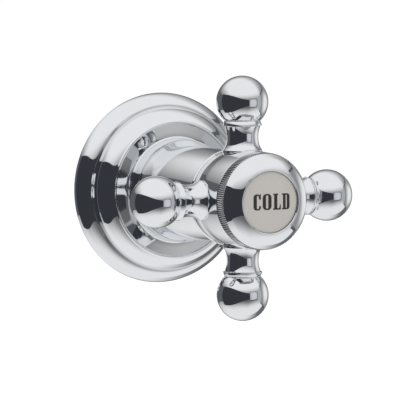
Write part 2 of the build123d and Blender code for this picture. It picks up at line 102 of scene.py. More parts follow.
# %% Arcs and runs
def arc_from(start, end, heading, steps=64):
    """The arc that leaves start in the direction of heading and ends at end. Its centre lies
    square to the heading, at half the squared chord over the chord's sideways part."""
    start, end, heading = (np.array(v, float) for v in (start, end, heading))
    heading = heading / np.hypot(*heading)
    sideways = np.array([-heading[1], heading[0]])
    chord = end - start
    centre = start + sideways * (chord @ chord) / (2 * chord @ sideways)
    angle = np.linspace(0, 2 * np.arctan2(chord @ sideways, chord @ heading), steps)
    spoke = start - centre
    across = np.array([-spoke[1], spoke[0]])
    return centre + np.outer(np.cos(angle), spoke) + np.outer(np.sin(angle), across)


def arc_through(start, middle, end):
    """The arc through three points. As complex numbers a, b and c, the heading at a is
    (b - a)(c - a) / (c - b)."""
    a, b, c = (complex(*point) for point in (start, middle, end))
    heading = (b - a) * (c - a) / (c - b)
    return arc_from(start, end, (heading.real, heading.imag))


def easing(start, end, start_slope, end_slope, steps=64):
    """A run from start to end whose radius is a cubic of the reach, with a given slope at each end:
    the sum of the two radii and the two slopes, each times its Hermite weight."""
    t = np.linspace(0, 1, steps)
    run = end[1] - start[1]
    radius = start[0] * (2 * t**3 - 3 * t**2 + 1) + end[0] * (3 * t**2 - 2 * t**3)
    radius += run * (start_slope * (t**3 - 2 * t**2 + t) + end_slope * (t**3 - t**2))
    return np.stack([radius, start[1] + run * t], 1)


quarter = arc_from((1, 0), (0, 1), (0, 1))
print("A quarter circle has radius", np.hypot(*quarter.T).min().round(3), "all along")

# %% [markdown]
# ## Polishing
# Nothing on a polished tap has a knife edge: the mop takes every corner down a little, and that
# small round is what catches a bright line. A Bevel modifier could make it, but the mop has a
# simple formula too. The outline is walked in even steps, and each point becomes the mean of its
# neighbours over the width of the round. Smooth stretches stay where they are, and corners ease.
# The points are then spread again, closer where the outline turns and wider where it is straight.
# Each piece's polish says how wide its round is and how long a step may be, both in millimetres,
# and by how many degrees a step may turn.

# %% Ease the corners and spread the points
WALK_STEP = 0.02


def walk(outline, gaps, amount):
    """Points spread along an outline so that equal steps hold equal amounts: each column is
    interpolated at even values of the running sum of the gaps."""
    total = np.concatenate([[0], np.cumsum(gaps)])
    wanted = np.linspace(0, total[-1], amount)
    return np.stack([np.interp(wanted, total, column) for column in outline.T], 1)


def polished(outline, ease, longest=1.0, turn=7.0):
    """The outline with its corners eased over so many millimetres. Steps end up no longer than
    longest, in millimetres, and turn by no more than about turn, in degrees."""
    loop = np.allclose(outline[0], outline[-1])
    gaps = np.hypot(*np.diff(outline[:, :2], axis=0).T)
    steps = int(gaps.sum() / WALK_STEP)
    even = walk(outline, gaps, steps + 1)
    half = max(1, int(ease / WALK_STEP / 2))
    before, after = even[-half - 1:-1], even[1:half + 1]
    if not loop:
        before, after = 2 * even[0] - even[half:0:-1], 2 * even[-1] - even[-2:-half - 2:-1]
    padded = np.concatenate([before, even, after])
    weights = np.ones(2 * half + 1) / (2 * half + 1)
    eased = np.stack([np.convolve(column, weights, "valid") for column in padded.T], 1)
    leg = np.diff(eased[:, :2], axis=0)
    gaps = np.hypot(*leg.T)
    heading = np.unwrap(np.arctan2(leg[:, 1], leg[:, 0]))
    bend = np.degrees(np.abs(np.diff(heading, prepend=heading[0])))
    effort = gaps / longest + bend / turn
    return walk(eased, effort, int(effort.sum()) + 2)


square = np.array([(0, 0), (10, 0), (10, 10), (0, 10), (0, 0)], float)
print("A square of 4 corners is", len(polished(square, 0.5)), "points after polishing")

# %% [markdown]
# ## Meshes
# A grid of points becomes a mesh in one call. The rows are rings round an axis, so a row joins up
# with itself, and an outline that ends on the axis is closed there by one point and a fan. A closed
# mesh has a volume, and its sign says which way the faces look, so a mesh that came out inside out
# is turned before it is made.

# %% Put a grid of points into a mesh
def signed_volume(points, corners):
    """The volume inside faces of four corners: a quarter turn of each face about the origin makes
    two tetrahedra, each a sixth of the triple product of its three corners."""
    a, b, c, d = (points[corners[:, k]] for k in range(4))
    first = np.einsum("ij,ij->i", a, np.cross(b, c))
    second = np.einsum("ij,ij->i", a, np.cross(c, d))
    return (first.sum() + second.sum()) / 6


def surface(name, grid, loop):
    """A mesh from grid[row, column], in millimetres. With loop the last row meets the first;
    without it the first and last rows are drawn in to one point each."""
    rows, columns = grid.shape[:2]
    count = np.arange(rows * columns).reshape(rows, columns)
    if not loop:
        count[0] = 0
        count[-1] = count[-1, 0]
    below = count if loop else count[:-1]
    above = np.roll(count, -1, 0) if loop else count[1:]
    corners = np.stack([below, np.roll(below, -1, 1), np.roll(above, -1, 1), above], -1)
    corners = corners.reshape(-1, 4)
    points = grid.reshape(-1, 3) * MM
    if signed_volume(points, corners) < 0:
        corners = corners[:, ::-1]
    used, corners = np.unique(corners, return_inverse=True)
    corners = corners.reshape(-1, 4)
    faces = [list(dict.fromkeys(face)) for face in corners.tolist()]
    mesh = bpy.data.meshes.new(name)
    mesh.from_pydata(points[used], [], faces)
    mesh.shade_smooth()
    piece = bpy.data.objects.new(name, mesh)
    bpy.context.scene.collection.objects.link(piece)
    return piece


def stand_for(piece, body, node):
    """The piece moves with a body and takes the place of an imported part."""
    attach(piece, body)
    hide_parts(node)
    print(piece.name, "has", len(piece.data.polygons), "faces")


# %% [markdown]
# ## Turning
# The lathe turns an outline round the valve axis. Two parts aren't quite round: the hub has a
# hexagonal socket inside, and the ring's edge is milled. Their outlines carry a third column that
# says how much of that shape each point takes, from none to all, and a function of the angle says
# what the shape is.

# %% Carry an outline round the valve axis
def turned(name, outline, columns, shape=None):
    """Each outline point goes round the valve axis: x and z are the radius times the angle's cosine
    and sine, and y is minus the reach. A shape changes the radius with the angle."""
    angle = np.arange(columns) * 2 * np.pi / columns
    radius = np.repeat(outline[:, :1], columns, 1)
    if shape is not None:
        radius = shape(radius, outline[:, 2:3], angle)
    loop = np.allclose(outline[0], outline[-1])
    y = np.repeat(-outline[:, 1:2], columns, 1)
    grid = np.stack([radius * np.cos(angle), y, radius * np.sin(angle)], -1)
    return surface(name, grid[:-1] if loop else grid, loop)


COLUMNS = 240
print("Turned parts have", COLUMNS, "columns, one every", 360 / COLUMNS, "degrees")

# %% [markdown]
# ## The rose
# The rose is spun from sheet brass over a former: two round bands, a bright lip, and a shallow cone
# with a cove that climbs to the sleeve. Its outside is four arcs and the lines between them. The
# inside follows the outside one wall away, as sheet metal does. Moving every point in by the wall
# makes small loops at the corners, so only the moved points that still lie a full wall from the
# whole outside are kept.

# %% Spin the rose
ROSE_WALL = 1.6
ROSE_SEAT_MARGIN = 0.4
BAND_SHARE = 0.74
BAND_HEIGHT = 4.8
LEDGE_WIDTH = 0.9
LEDGE_TILT = 0.16
LEDGE_HEIGHT = 0.7
LIP_SHARE = 0.36
LIP_HEIGHT = 10.7
LIP_WIDTH = 1.0
LIP_CROWN = 0.3
LIP_DROP = 0.15
COVE_WIDTH = 0.75
COVE_HEIGHT = 0.6
COVE_RISE = 0.75
ROSE_HOLE_RADIUS = 11.95
ROSE_POLISH = (0.14, 1.2, 8.0)
FINE_POLISH = (0.1, 0.05, 1.0)
WALL_TOLERANCE = 0.01

rose_top = (sleeve_foot_radius + ROSE_SEAT_MARGIN, rose_front)
rose_width = rose_radius - rose_top[0]
band = (rose_top[0] + BAND_SHARE * rose_width, BAND_HEIGHT)
ledge = (band[0] - LEDGE_WIDTH, BAND_HEIGHT + LEDGE_HEIGHT)
lip = rose_top[0] + LIP_SHARE * rose_width
lip_outer = (lip + LIP_WIDTH / 2, LIP_HEIGHT)
lip_inner = (lip - LIP_WIDTH / 2, LIP_HEIGHT - LIP_DROP)
cove_foot = (rose_top[0] + COVE_WIDTH, LIP_HEIGHT + COVE_HEIGHT)
cove_top = (rose_top[0], cove_foot[1] + COVE_RISE)

rose_outside = np.concatenate([
    arc_from((rose_radius, 0), band, (0, 1)),
    [(ledge[0], BAND_HEIGHT + LEDGE_TILT)],
    arc_from(ledge, lip_outer, (0, 1)),
    arc_through(lip_outer, (lip, LIP_HEIGHT + LIP_CROWN), lip_inner),
    arc_from(cove_top, cove_foot, (0, -1))[::-1],
    [rose_top, (ROSE_HOLE_RADIUS, rose_front)],
])


def one_wall_in(outside, wall):
    """The outside moved in by one wall, along the normal to each step, without the points that
    come nearer than that to any part of the outside."""
    fine = polished(outside, *FINE_POLISH)
    leg = np.gradient(fine, axis=0)
    normal = np.stack([-leg[:, 1], leg[:, 0]], 1) / np.hypot(*leg.T)[:, None]
    moved = fine + wall * normal
    distance = np.hypot(*(moved[:, None] - fine[None]).transpose(2, 0, 1)).min(1)
    full = distance > wall - WALL_TOLERANCE
    return moved[full & (moved[:, 1] > 0) & (moved[:, 0] > ROSE_HOLE_RADIUS)]


rose_inside = one_wall_in(rose_outside, ROSE_WALL)
rose_loop = np.concatenate([
    rose_outside,
    [(ROSE_HOLE_RADIUS, rose_front - ROSE_WALL)],
    rose_inside[::-1],
    [(rose_inside[0, 0], 0), (rose_radius, 0)],
])
rose = turned("rose_turned", polished(rose_loop, *ROSE_POLISH), COLUMNS)
stand_for(rose, "root", "rose")

# %% [markdown]
# ## The sleeve
# The sleeve is a bell: it flares where it holds the rose to the wall, runs nearly straight past its
# waist, and draws in to the hub. Three runs make it, each a cubic of the reach that starts with the
# slope that the one before it ended with, so that no line shows between them.

# %% Turn the sleeve
SLEEVE_BORE = 11.6
SLEEVE_FOOT_HEIGHT = 0.6
SLEEVE_WAIST = (14.25, 26.0)
SLEEVE_SHOULDER = (13.1, 38.6)
SLEEVE_MOUTH_RADIUS = 11.8
SLEEVE_SLOPES = (-0.22, -0.05, -0.12, -0.17)
SLEEVE_MOUTH_BORE = 10.4
SLEEVE_STEP_REACH = 30.4
SEAL_GROOVE_RADII = (13.2, 14.5)
SEAL_GROOVE_DEPTH = 1.3
SLEEVE_EASE = 0.2

foot_slope, waist_slope, shoulder_slope, mouth_slope = SLEEVE_SLOPES
sleeve_foot = (sleeve_foot_radius, sleeve_back + SLEEVE_FOOT_HEIGHT)
sleeve_mouth = (SLEEVE_MOUTH_RADIUS, sleeve_front)
bell = np.concatenate([
    easing(sleeve_foot, SLEEVE_WAIST, foot_slope, waist_slope),
    easing(SLEEVE_WAIST, SLEEVE_SHOULDER, waist_slope, shoulder_slope)[1:],
    easing(SLEEVE_SHOULDER, sleeve_mouth, shoulder_slope, mouth_slope)[1:],
])

groove_inside, groove_outside = SEAL_GROOVE_RADII
groove_floor = sleeve_back + SEAL_GROOVE_DEPTH
sleeve_loop = np.concatenate([
    [(SLEEVE_BORE, sleeve_back), (groove_inside, sleeve_back)],
    [(groove_inside, groove_floor), (groove_outside, groove_floor)],
    [(groove_outside, sleeve_back), (sleeve_foot_radius, sleeve_back)],
    bell,
    [(SLEEVE_MOUTH_BORE, sleeve_front), (SLEEVE_MOUTH_BORE, SLEEVE_STEP_REACH)],
    [(SLEEVE_BORE, SLEEVE_STEP_REACH), (SLEEVE_BORE, sleeve_back)],
])
sleeve = turned("sleeve_turned", polished(sleeve_loop, SLEEVE_EASE), COLUMNS)
stand_for(sleeve, "root", "sleeve")

# %% [markdown]
# ## The hub
# The hub is a short barrel with a bead at its back: it widens from the bead to its crown and then
# runs nearly level to the ring, and each of the two runs is a cubic of the reach. Inside it has a
# mouth over the sleeve, a hexagonal socket for a moulded insert, a web with the screw's hole, and a
# recess for the index ring. A hexagon in polar form is its flat radius over the cosine of the angle
# to the nearest flat.

# %% Turn the hub
HUB_RIM_WIDTH = 1.2
HUB_RIM_EASE = 0.8
HUB_RIM_RISE = 0.6
HUB_CROWN_RISE = 0.65
HUB_CROWN_REACH = 6.9
HUB_END_RISE = 0.45
HUB_SLOPES = (0.11, 0.085, 0.02, -0.06)
HUB_MOUTH_WALL = 1.1
HUB_MOUTH_DEPTH = 2.0
HUB_RECESS_WALL = 2.1
HUB_RECESS_DEPTH = 6.5
HUB_WEB = 1.8
WASHER_RECESS_RADIUS = 5.3
WASHER_RECESS_DEPTH = 1.0
SCREW_HOLE_RADIUS = 2.75
SOCKET_FLAT_RADIUS = 5.6
HUB_EASE = 0.14

hub_start = (hub_rim_radius - HUB_RIM_RISE, hub_back + HUB_RIM_WIDTH)
hub_crown = (hub_start[0] + HUB_CROWN_RISE, hub_start[1] + HUB_CROWN_REACH)
hub_end = (hub_start[0] + HUB_END_RISE, hub_front)
rim_start = (hub_rim_radius - HUB_RIM_EASE, hub_back)
rim_top = (hub_rim_radius, hub_back + HUB_RIM_WIDTH / 2)
barrel = np.concatenate([
    easing(hub_start, hub_crown, *HUB_SLOPES[:2]),
    easing(hub_crown, hub_end, *HUB_SLOPES[2:])[1:],
])
recess_radius = hub_end[0] - HUB_RECESS_WALL
web_front = hub_front - HUB_RECESS_DEPTH
recess_back = web_front + WASHER_RECESS_DEPTH
mouth_radius = hub_start[0] - HUB_MOUTH_WALL
mouth_back = hub_back + HUB_MOUTH_DEPTH


def plain(points):
    """An outline's points with a third column of noughts: no share of any special shape."""
    return np.pad(np.array(points, float), ((0, 0), (0, 1)))


hub_loop = np.concatenate([
    plain(arc_through(rim_start, rim_top, hub_start)),
    plain(barrel),
    plain([(recess_radius, hub_front), (recess_radius, recess_back)]),
    plain([(WASHER_RECESS_RADIUS, recess_back), (WASHER_RECESS_RADIUS, web_front)]),
    plain([(SCREW_HOLE_RADIUS, web_front), (SCREW_HOLE_RADIUS, web_front - HUB_WEB)]),
    [(SOCKET_FLAT_RADIUS, web_front - HUB_WEB, 1), (SOCKET_FLAT_RADIUS, mouth_back, 1)],
    plain([(mouth_radius, mouth_back), (mouth_radius, hub_back), rim_start]),
])


def six_flats(radius, amount, angle):
    """The radius, grown towards a hexagon's by the amount: one over the cosine of the angle to the
    nearest flat."""
    sixth = np.pi / 3
    off_flat = (angle % sixth) - sixth / 2
    return radius * (1 + amount * (1 / np.cos(off_flat) - 1))


hub = turned("handle_hub_turned", polished(hub_loop, HUB_EASE), COLUMNS, six_flats)
stand_for(hub, "handle", "handle_hub")

# %% [markdown]
# ## The arms
# Each arm is turned on an axis of its own, square to the valve's: a foot that sits on the barrel,
# a waist, a sharp collar and a ball. Its foot ends in a saddle, so a plain outline turned round the
# arm won't do. Every column of the mesh starts instead where the outline comes out of the barrel,
# which is found for all columns at once, and the points are spread from there to the ball's end.

# %% Shape one arm
ARM_FOOT_RADIUS = 5.8
ARM_FOOT_MARGIN = 0.7
ARM_STUD_RADIUS = 2.9
ARM_STUD_DEPTH = 4.8
ARM_STUD_LENGTH = 2.0
ARM_SEAT_ROWS = 6
ARM_FOOT_SLOPE = -0.75
ARM_NECK_RADIUS = 4.64
ARM_NECK_SHARE = 0.6
ARM_COLLAR_SLOPE = 0.4
ARM_COLLAR_FOOT = 5.3
ARM_COLLAR_RADIUS = 5.7
ARM_COLLAR_MIDDLE = 5.56
ARM_COLLAR_WIDTH = 1.45
ARM_COLLAR_CORNER = 0.1
ARM_GROOVE_RADIUS = 5.22
ARM_POLISH = (0.12, 0.5, 4.0)
ARM_COLUMNS = 160
FOOT_TUCK = 0.12

ball_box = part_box("handle_arm_right")
ball_radius = ball_box[1].z / MM
ball_reach = ball_box[1].x / MM - ball_radius
arm_reach = hub_back + ARM_FOOT_RADIUS + ARM_FOOT_MARGIN
ball_start = ball_reach - np.sqrt(ball_radius**2 - ARM_GROOVE_RADIUS**2)
ball_end = (0, ball_reach + ball_radius)
groove = (ARM_GROOVE_RADIUS, ball_start)
collar = (ARM_COLLAR_FOOT, ball_start - ARM_COLLAR_WIDTH)
collar_edge = (ARM_COLLAR_RADIUS, collar[1] + ARM_COLLAR_CORNER)
collar_middle = (ARM_COLLAR_MIDDLE, ball_start - ARM_COLLAR_WIDTH / 2)
neck = (ARM_NECK_RADIUS, hub_end[0] + ARM_NECK_SHARE * (collar[1] - hub_end[0]))
arm_outline = np.concatenate([
    [(ARM_FOOT_RADIUS, hub_start[0] - ARM_FOOT_RADIUS / 2)],
    easing((ARM_FOOT_RADIUS, hub_end[0]), neck, ARM_FOOT_SLOPE, 0),
    easing(neck, collar, 0, ARM_COLLAR_SLOPE),
    arc_through(collar_edge, collar_middle, groove),
    arc_through(groove, (ball_radius, ball_reach), ball_end),
])
arm_outline = polished(arm_outline, *ARM_POLISH)
print("The ball's radius is", round(ball_radius, 2), "mm, centred", round(ball_reach, 2), "mm out")


def barrel_height(across, along):
    """How far the hub's side stands from the plane of the two axes: the square root of the
    barrel's squared radius at that reach less the squared distance across."""
    side = np.interp(arm_reach + along, barrel[:, 1], barrel[:, 0])
    return np.sqrt(np.maximum(side**2 - across**2, 0))


def arm_grid():
    """One arm's points as radius, distance out and angle. Column by column the outline is cut
    where it leaves the barrel, and the kept part is spread over the same number of rows."""
    column = np.arange(ARM_COLUMNS)
    angle = column * 2 * np.pi / ARM_COLUMNS
    radius, out = arm_outline.T
    across, along = np.outer(radius, np.cos(angle)), np.outer(radius, np.sin(angle))
    proud = out[:, None] - barrel_height(across, along)
    row = np.argmax(proud > 0, 0)
    step = proud[row, column] - proud[row - 1, column]
    start = row - proud[row, column] / step
    last = len(arm_outline) - 1
    spread = start + np.linspace(0, 1, last)[:, None] * (last - start)
    index = np.arange(last + 1)
    shown_radius = np.interp(spread, index, radius)
    shown_out = np.interp(spread, index, out)
    seat = np.linspace(0, 1, ARM_SEAT_ROWS)[:, None]
    seat_radius = ARM_STUD_RADIUS + seat * (shown_radius[0] - FOOT_TUCK - ARM_STUD_RADIUS)
    seat_out = barrel_height(seat_radius * np.cos(angle), seat_radius * np.sin(angle))
    stud_radius = np.array([0, ARM_STUD_RADIUS, ARM_STUD_RADIUS])[:, None] + 0 * angle
    stud_out = np.array([0, 0, ARM_STUD_LENGTH])[:, None] + 0 * angle
    stud_out = hub_start[0] - ARM_STUD_DEPTH + stud_out
    radius = np.concatenate([stud_radius, seat_radius, shown_radius])
    out = np.concatenate([stud_out, seat_out, shown_out])
    return radius, out, angle


arm_radius, arm_out, arm_angle = arm_grid()
print("An arm has", arm_radius.shape[0], "rows of", arm_radius.shape[1], "points")

# %% [markdown]
# The four arms are the same piece, turned a quarter each time. The direction of an arm, the
# direction across it and the valve axis are square to each other, and a point is the sum of its
# three parts along them.

# %% Place the four arms
ARM_ANGLES = {"right": 0, "top": 90, "left": 180, "bottom": 270}


def arm(side, degrees):
    """One arm in its place: distance out times the arm's direction, plus radius times cosine
    across it, plus radius times sine along the valve axis."""
    turn = np.radians(degrees)
    outward = np.array([np.cos(turn), 0, np.sin(turn)])
    across = np.array([-np.sin(turn), 0, np.cos(turn)])
    axis = np.array([0, -1, 0])
    grid = arm_out[..., None] * outward + axis * arm_reach
    grid = grid + (arm_radius * np.cos(arm_angle))[..., None] * across
    grid = grid + (arm_radius * np.sin(arm_angle))[..., None] * axis
    return surface("handle_arm_" + side + "_turned", grid, False)


chrome_pieces = [rose, sleeve, hub]
for side, degrees in ARM_ANGLES.items():
    piece = arm(side, degrees)
    stand_for(piece, "handle", "handle_arm_" + side)
    chrome_pieces.append(piece)

# %% [markdown]
# ## The index ring
# The ring screws into the hub, and fingers need a grip on it, so its edge is milled with fine
# straight teeth. In front is a round bezel that ends in a small lip over the porcelain. A tooth is
# a triangle wave of the angle: the distance to the nearest whole number of teeth, doubled.

# %% Mill and turn the index ring
# In a pair the first number is a radius, or what comes off it, and the second runs along the axis:
# from the milled edge's front for the shoulder, and back from the ring's front for crown and lip.
KNURL_TEETH = 140
KNURL_DEPTH = 0.34
KNURL_WIDTH = 3.5
KNURL_RADIUS = 14.08
KNURL_CHAMFER = 0.25
KNURL_FRONT_CHAMFER = (0.3, 0.55)
TOOTH_END_BACK = 0.05
TOOTH_END_SHARE = 0.3
BEZEL_FOOT_INSET = 0.1
BEZEL_SHOULDER = (12.5, 1.55)
BEZEL_CROWN = (9.25, 0.12)
BEZEL_LIP = (8.98, 0.4)
LIP_BACK = 0.52
FOOT_HEADING = (0.9, -1)
FACE_HEADING = (1, -0.3)
LIP_HEADING = (-1, -0.1)
RING_SKIRT_WALL = 1.4
RING_SKIRT_CLEARANCE = 0.05
INDEX_FLOOR = 1.6
INDEX_FLOOR_HOLE = 2.0
DISC_CLEARANCE = 0.1
RING_POLISH = (0.08, 1.2, 10.0)
COLUMNS_PER_TOOTH = 4

knurl_front = hub_front + KNURL_WIDTH
knurl_corner = (KNURL_RADIUS, knurl_front - KNURL_FRONT_CHAMFER[1])
tooth_end = (KNURL_RADIUS - KNURL_FRONT_CHAMFER[0], knurl_front - TOOTH_END_BACK)
bezel_foot = (tooth_end[0] - BEZEL_FOOT_INSET, knurl_front)
shoulder = (BEZEL_SHOULDER[0], knurl_front + BEZEL_SHOULDER[1])
crown = (BEZEL_CROWN[0], ring_front - BEZEL_CROWN[1])
lip_edge = (BEZEL_LIP[0], ring_front - BEZEL_LIP[1])
disc_wall = disc_radius + DISC_CLEARANCE
skirt_outside = recess_radius - RING_SKIRT_CLEARANCE
skirt_inside = skirt_outside - RING_SKIRT_WALL
floor_back = disc_back - INDEX_FLOOR

ring_loop = np.concatenate([
    plain([(skirt_inside, skirt_back), (skirt_outside, skirt_back), (skirt_outside, hub_front)]),
    [(KNURL_RADIUS - KNURL_CHAMFER, hub_front, 0), (KNURL_RADIUS, hub_front + KNURL_CHAMFER, 1)],
    [(*knurl_corner, 1), (*tooth_end, TOOTH_END_SHARE)],
    plain(arc_from(shoulder, bezel_foot, FOOT_HEADING)[::-1]),
    plain(arc_from(crown, shoulder, FACE_HEADING)[::-1]),
    plain(arc_from(crown, lip_edge, LIP_HEADING)),
    plain([(disc_wall, ring_front - LIP_BACK), (disc_wall, disc_back)]),
    plain([(INDEX_FLOOR_HOLE, disc_back), (INDEX_FLOOR_HOLE, floor_back)]),
    plain([(skirt_inside, floor_back), (skirt_inside, skirt_back)]),
])


def milled(radius, amount, angle):
    """The radius less the tooth's depth times a triangle wave of the angle."""
    wave = np.abs((angle * KNURL_TEETH / (2 * np.pi)) % 1 - 0.5) * 2
    return radius - amount * KNURL_DEPTH * wave


ring_outline = polished(ring_loop, *RING_POLISH)
index_ring = turned("index_ring_turned", ring_outline, KNURL_TEETH * COLUMNS_PER_TOOTH, milled)
stand_for(index_ring, "handle", "index_ring")

# %% [markdown]
# ## The porcelain disc
# The disc is pressed porcelain under a thick glaze. Glaze draws back from an edge as it melts, so
# the face rolls over softly at its rim instead of ending in a fillet.

# %% Make the disc
DISC_ROLL = 0.9
DISC_DROP = 0.35
DISC_POLISH = (0.15, 0.8, 5.0)
ROLL_STEPS = 40

roll = np.linspace(0, 1, ROLL_STEPS)
disc_face = np.stack([disc_radius - DISC_ROLL * (1 - roll), disc_front - DISC_DROP * roll**3], 1)
disc_outline = np.concatenate([
    [(0, disc_front)],
    disc_face,
    [(disc_radius, disc_back), (0, disc_back)],
])
index_disc = turned("index_disc_glazed", polished(disc_outline, *DISC_POLISH), COLUMNS)
stand_for(index_disc, "handle", "index_disc")

# %% [markdown]
# ## The letters
# The disc says which water it is, as the on and off marks of a switch do. The word is fired on in
# dark enamel: narrow letters with heavy stems and slab feet, drawn here from straight strokes with
# rounded corners. Blender's flat curves fill an outline and leave its inner outlines open, and the
# filled curve is then made a mesh.

# %% Draw the letters
LETTER_HEIGHT = 4.64
LETTER_THICKNESS = 0.02
WORD_WIDTH = 11.8
WORD_SHIFT = (0.58, 0.08)
LOW = 0.42
TOP = LETTER_HEIGHT
HIGH = TOP - LOW
ROUND_STEPS = 10

# Each letter has its left edge and its outlines, of corners (across, up, radius of the rounding).
LETTERS = {
    "C": (0.0, [[(2.41, 3.1, 0.1), (2.41, TOP, 0.1), (2.15, TOP, 0.1), (1.95, 4.3, 0.12),
                 (1.7, TOP, 0.2), (0, TOP, 1.1), (0, 0, 1.1), (2.41, 0, 0.9), (2.41, 1.3, 0.25),
                 (1.85, 1.3, 0.2), (1.75, LOW, 0.25), (1.1, LOW, 0.3), (1.1, HIGH, 0.3),
                 (1.6, HIGH, 0.2), (1.85, 3.1, 0.2)]]),
    "O": (3.0, [[(0, 0, 1.35), (2.9, 0, 1.35), (2.9, TOP, 1.35), (0, TOP, 1.35)],
                [(1.09, LOW, 0.34), (1.81, LOW, 0.34), (1.81, HIGH, 0.34), (1.09, HIGH, 0.34)]]),
    "L": (6.44, [[(0, 0, 0.1), (2.49, 0, 0.1), (2.49, 1.5, 0.08), (2.25, 1.5, 0.08),
                  (1.95, LOW, 0.3), (1.34, LOW, 0.12), (1.34, HIGH, 0.12), (1.62, HIGH, 0.1),
                  (1.62, TOP, 0.1), (0, TOP, 0.1), (0, HIGH, 0.1), (0.31, HIGH, 0.12),
                  (0.31, LOW, 0.12), (0, LOW, 0.1)]]),
    "D": (9.33, [[(0, 0, 0.1), (2.47, 0, 1.0), (2.47, TOP, 1.0), (0, TOP, 0.1), (0, HIGH, 0.1),
                  (0.31, HIGH, 0.12), (0.31, LOW, 0.12), (0, LOW, 0.1)],
                 [(1.18, LOW, 0.06), (1.55, LOW, 0.25), (1.55, HIGH, 0.25), (1.18, HIGH, 0.06)]]),
}


def rounded(corners):
    """A closed outline of (x, y, radius) corners. Each corner is a curve between two points that
    lie the radius away from it along its sides: (1-t)^2 start + 2t(1-t) corner + t^2 end."""
    points = np.array(corners, float)
    corner, radius = points[:, None, :2], points[:, None, 2:]
    before, after = np.roll(corner, 1, 0) - corner, np.roll(corner, -1, 0) - corner
    start = corner + before / np.linalg.norm(before, axis=2, keepdims=True) * radius
    end = corner + after / np.linalg.norm(after, axis=2, keepdims=True) * radius
    t = np.linspace(0, 1, ROUND_STEPS)[None, :, None]
    curve = (1 - t) ** 2 * start + 2 * t * (1 - t) * corner + t**2 * end
    return curve.reshape(-1, 2)


def letters():
    """All the letters as one flat curve, centred on the origin."""
    curve = bpy.data.curves.new("letters", "CURVE")
    curve.dimensions = "2D"
    curve.fill_mode = "BOTH"
    curve.extrude = LETTER_THICKNESS / 2
    for left, outlines in LETTERS.values():
        for outline in outlines:
            xy = rounded(outline) + (left - WORD_WIDTH / 2, -LETTER_HEIGHT / 2)
            spline = curve.splines.new("POLY")
            spline.points.add(len(xy) - 1)
            spline.points.foreach_set("co", np.pad(xy, ((0, 0), (0, 2))).ravel())
            spline.use_cyclic_u = True
    return curve


flat = bpy.data.objects.new("letters", letters())
bpy.context.scene.collection.objects.link(flat)
bpy.context.view_layer.update()
graph = bpy.context.evaluated_depsgraph_get()
letter_mesh = bpy.data.meshes.new_from_object(flat.evaluated_get(graph))
bpy.data.objects.remove(flat)
drawn = np.empty(len(letter_mesh.vertices) * 3)
letter_mesh.vertices.foreach_get("co", drawn)
x, y, z = drawn.reshape(-1, 3).T
reach = disc_front + LETTER_THICKNESS / 2 + z
placed = np.stack([x + WORD_SHIFT[0], -reach, y + WORD_SHIFT[1]], 1) * MM
letter_mesh.vertices.foreach_set("co", placed.ravel())
letter_mesh.update()
index_letters = bpy.data.objects.new("index_letters", letter_mesh)
bpy.context.scene.collection.objects.link(index_letters)
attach(index_letters, "handle")
width = round(np.ptp(placed[:, 0]) / MM, 1)
print("The word has", len(letter_mesh.polygons), "faces and is", width, "mm wide")

# %% [markdown]
# ## Finishes
# Every finish starts from a real material. Two small helpers do the work: one turns the usual hex
# colour into the linear values that Blender counts with, and one adds a node with its settings and
# its links. Patterns read object coordinates, which are metres, so a pattern's scale is one over
# its real size. A Map Range node takes the range that comes in as its inputs 1 and 2, and the range
# that goes out as 3 and 4. Blender's noise keeps mostly between 0.3 and 0.7.

# %% Colours and nodes
NOISE_LOW = 0.3
NOISE_HIGH = 0.7


def linear(code):
    """A hex colour as linear red, green, blue and alpha: each channel c becomes c / 12.92 near
    black, and ((c + 0.055) / 1.055) to the power of 2.4 above that."""
    channels = np.array([int(code[k:k + 2], 16) for k in (1, 3, 5)]) / 255
    bent = np.where(channels <= 0.04045, channels / 12.92, ((channels + 0.055) / 1.055) ** 2.4)
    return (*bent.tolist(), 1.0)


def add(tree, kind, inputs, **settings):
    """Adds a node of a kind to a tree. Each input is given by name or number, and its value is
    either a plain value or another node's output."""
    made = tree.nodes.new("ShaderNode" + kind)
    for name, value in settings.items():
        setattr(made, name, value)
    for name, value in inputs.items():
        if isinstance(value, bpy.types.NodeSocket):
            tree.links.new(value, made.inputs[name])
        else:
            made.inputs[name].default_value = value
    return made


def per(size):
    """The scale of a pattern whose features are size millimetres across."""
    return 1 / (size * MM)


def new_material(name):
    """An empty material: its node tree, and object coordinates to draw patterns on."""
    made = bpy.data.materials.new(name)
    made.use_nodes = True
    made.node_tree.nodes.clear()
    here = add(made.node_tree, "TexCoord", {}).outputs["Object"]
    return made, made.node_tree, here


def finished(made, tree, inputs):
    """Gives a material its shader with these inputs."""
    shader = add(tree, "BsdfPrincipled", inputs)
    add(tree, "OutputMaterial", {"Surface": shader.outputs[0]})
    return made


print("Mid grey #808080 is", round(linear("#808080")[0], 3), "in linear light")

# %% [markdown]
# Bright chromium plate over polished brass is nearly a mirror, a little blue. What tells it from
# a perfect mirror is faint: a haze of hairline marks from the mop that spreads a highlight here and
# there, and a slow waviness of the polished brass underneath that bends long reflections. Both
# are too fine to measure in a photograph, so they are set just strong enough to be felt.

# %% Chrome plate
CHROME = "#EBEDEF"
HAZE = {"Scale": per(1.6), "Detail": 4.0, "Roughness": 0.6}
HAZE_RANGE = (0.35, 0.75)
CHROME_ROUGHNESS = (0.025, 0.06)
WAVE_HEIGHT = 0.012
# The valley colour is painted shade: the milling's valleys are darkened towards it with their depth.
KNURL_VALLEY_PAINTED_SHADE = "#1F2124"
KNURL_CREST = "#E2E4E7"
VALLEY_SHARE = 0.75
CREST_SHARE = 0.3
KNURL_ROUGHNESS = (0.3, 0.08)
BEZEL_ROUGHNESS = 0.03
MARK_HEIGHT = 0.002


